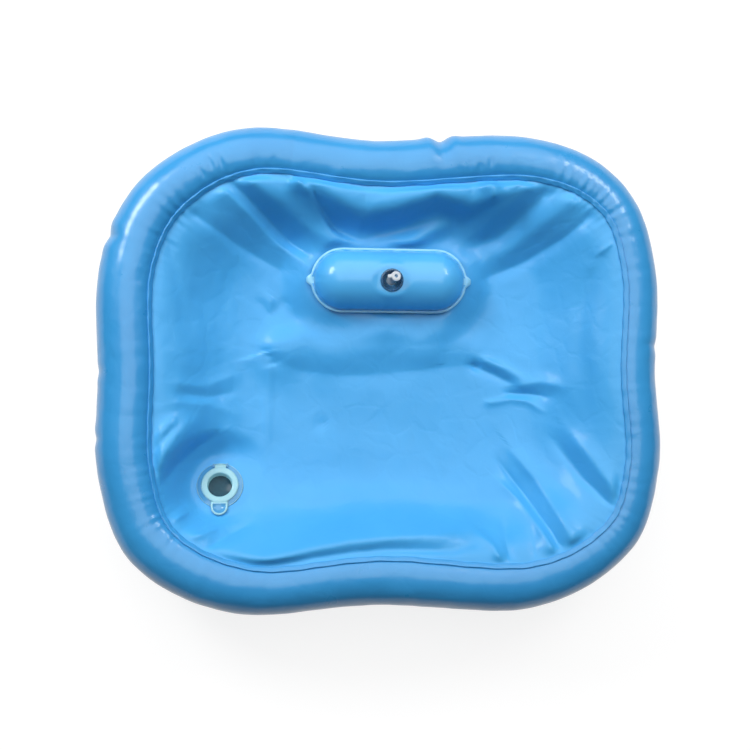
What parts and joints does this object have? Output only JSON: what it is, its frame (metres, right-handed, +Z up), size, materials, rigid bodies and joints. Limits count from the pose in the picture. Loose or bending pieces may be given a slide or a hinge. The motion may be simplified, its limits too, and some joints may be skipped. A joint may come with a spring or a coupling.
{
  "type": "portable shampoo basin",
  "caption": "Inflatable hair washing basin: stacked air rings with a hung liner bowl, a head pillow and a plugged side drain.",
  "frame": {"origin": "middle of the rings' outer box, at floor level", "axes": "+X along the basin's length, away from the drain; +Y towards the neck side with the pillow; +Z up"},
  "size_m": [0.61, 0.5179, 0.1273],
  "materials": {
    "ring_film": "gloss",
    "liner_film": "satin",
    "pillow_film": "gloss",
    "weld_strip": "gloss",
    "valve_pvc": "gloss",
    "drain_pvc": "gloss"
  },
  "bodies": {
    "basin": {"upper_tube": "ring_film", "lower_tube": "ring_film", "tube_joint_strip": "weld_strip", "rim_weld_strip": "weld_strip", "basin_liner": "liner_film", "pillow_top": "pillow_film", "pillow_base": "pillow_film", "pillow_valve_flange": "valve_pvc", "upper_valve_flange": "valve_pvc", "lower_valve_flange": "valve_pvc", "drain_flange": "drain_pvc", "drain_backing_ring": "weld_strip", "drain_spigot": "drain_pvc"},
    "pillow_stem": {"pillow_valve_stem": "valve_pvc"},
    "pillow_cap": {"pillow_valve_cap": "valve_pvc"},
    "pillow_flap": {"pillow_valve_flap": "valve_pvc"},
    "upper_stem": {"upper_valve_stem": "valve_pvc"},
    "upper_cap": {"upper_valve_cap": "valve_pvc"},
    "upper_flap": {"upper_valve_flap": "valve_pvc"},
    "lower_stem": {"lower_valve_stem": "valve_pvc"},
    "lower_cap": {"lower_valve_cap": "valve_pvc"},
    "lower_flap": {"lower_valve_flap": "valve_pvc"},
    "plug": {"drain_plug": "drain_pvc"}
  },
  "joints": [
    {"name": "pillow_stem_push", "type": "slide", "parent": "basin", "child": "pillow_stem", "axis": [0.1903, 0.1258, 0.9736], "range_m": [-0.01, 0]},
    {"name": "pillow_cap_strap", "type": "hinge", "parent": "pillow_stem", "child": "pillow_cap", "pos_m": [0.00243, 0.0982, 0.11611], "axis": [0.0237, -0.9921, 0.1235], "range_deg": [0, 95]},
    {"name": "pillow_flap_lift", "type": "hinge", "parent": "pillow_stem", "child": "pillow_flap", "pos_m": [0.01062, 0.09569, 0.09444], "axis": [0.0237, -0.9921, 0.1235], "range_deg": [0, 45], "stiffness_Nm_per_rad": 0.0001},
    {"name": "upper_stem_pull", "type": "slide", "parent": "basin", "child": "upper_stem", "axis": [0.8653, -0.036, -0.5], "range_m": [0, 0.01]},
    {"name": "upper_cap_strap", "type": "hinge", "parent": "upper_stem", "child": "upper_cap", "pos_m": [0.29628, -0.09811, 0.0805], "axis": [-0.4996, 0.0208, -0.866], "range_deg": [0, 95]},
    {"name": "upper_flap_lift", "type": "hinge", "parent": "upper_stem", "child": "upper_flap", "pos_m": [0.2813, -0.08527, 0.08945], "axis": [-0.4996, 0.0208, -0.866], "range_deg": [0, 45], "stiffness_Nm_per_rad": 0.0001},
    {"name": "lower_stem_pull", "type": "slide", "parent": "basin", "child": "lower_stem", "axis": [0.9982, -0.0605, 0], "range_m": [0, 0.01]},
    {"name": "lower_cap_strap", "type": "hinge", "parent": "lower_stem", "child": "lower_cap", "pos_m": [0.29944, 0.04527, 0.03098], "axis": [0, 0, -1], "range_deg": [0, 95]},
    {"name": "lower_flap_lift", "type": "hinge", "parent": "lower_stem", "child": "lower_flap", "pos_m": [0.28231, 0.05853, 0.03098], "axis": [0, 0, -1], "range_deg": [0, 45], "stiffness_Nm_per_rad": 0.0001},
    {"name": "drain_plug_strap", "type": "hinge", "parent": "basin", "child": "plug", "pos_m": [-0.17568, -0.10308, 0.06378], "axis": [-1, 0, 0], "range_deg": [0, 135]}
  ]
}
